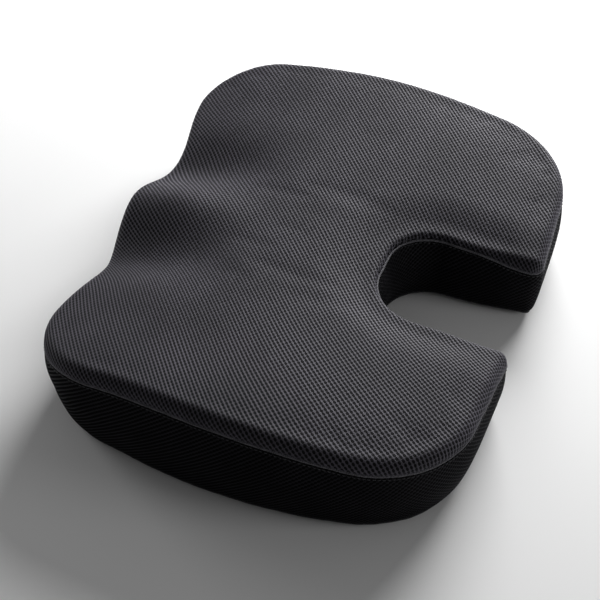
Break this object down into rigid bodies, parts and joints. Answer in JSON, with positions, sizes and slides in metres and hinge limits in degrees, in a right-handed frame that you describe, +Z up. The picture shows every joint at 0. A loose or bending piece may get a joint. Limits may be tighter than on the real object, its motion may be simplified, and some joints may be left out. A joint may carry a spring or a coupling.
{
  "type": "seat cushion",
  "caption": "U-shaped memory-foam seat cushion with a tailbone cut-out, thigh grooves and a zipped air-mesh cover.",
  "frame": {"origin": "middle of the base, where the cushion lies on the seat", "axes": "+Z up, +X across the seat, -Y towards the knees, +Y towards the backrest, where the cut-out opens"},
  "size_m": [0.452, 0.346, 0.0946],
  "materials": {
    "foam": "open-cell memory foam, matt",
    "liner": "thin white knit",
    "air_mesh": "charcoal 3-D air mesh with small round holes",
    "band_mesh": "black air mesh",
    "base_cloth": "black woven base with grip dots",
    "piping": "black binding",
    "zip_tape": "black woven tape",
    "zip_teeth": "black nylon",
    "zip_metal": "black enamel"
  },
  "bodies": {
    "cushion": {"foam_core": "foam", "foam_liner": "liner", "top_panel": "air_mesh", "side_band": "band_mesh", "zip_band_upper": "band_mesh", "zip_band_lower": "band_mesh", "bottom_panel": "base_cloth", "top_piping": "piping", "bottom_piping": "piping", "upper_zip_tape": "zip_tape", "lower_zip_tape": "zip_tape", "left_zip_patch": "zip_tape", "right_zip_patch": "zip_tape", "upper_zip_teeth": "zip_teeth", "lower_zip_teeth": "zip_teeth", "zip_top_stops": "zip_metal", "zip_bottom_stop": "zip_metal"},
    "slider": {"zip_slider": "zip_metal"},
    "pull": {"zip_pull": "zip_metal"}
  },
  "joints": [
    {"name": "zip_slide", "type": "slide", "parent": "cushion", "child": "slider", "axis": [1, 0, 0], "range_m": [-0.227, 0]},
    {"name": "pull_swing", "type": "hinge", "parent": "slider", "child": "pull", "pos_m": [0.1135, -0.17215, 0.026], "axis": [0, 0, 1], "range_deg": [0, 165]}
  ]
}
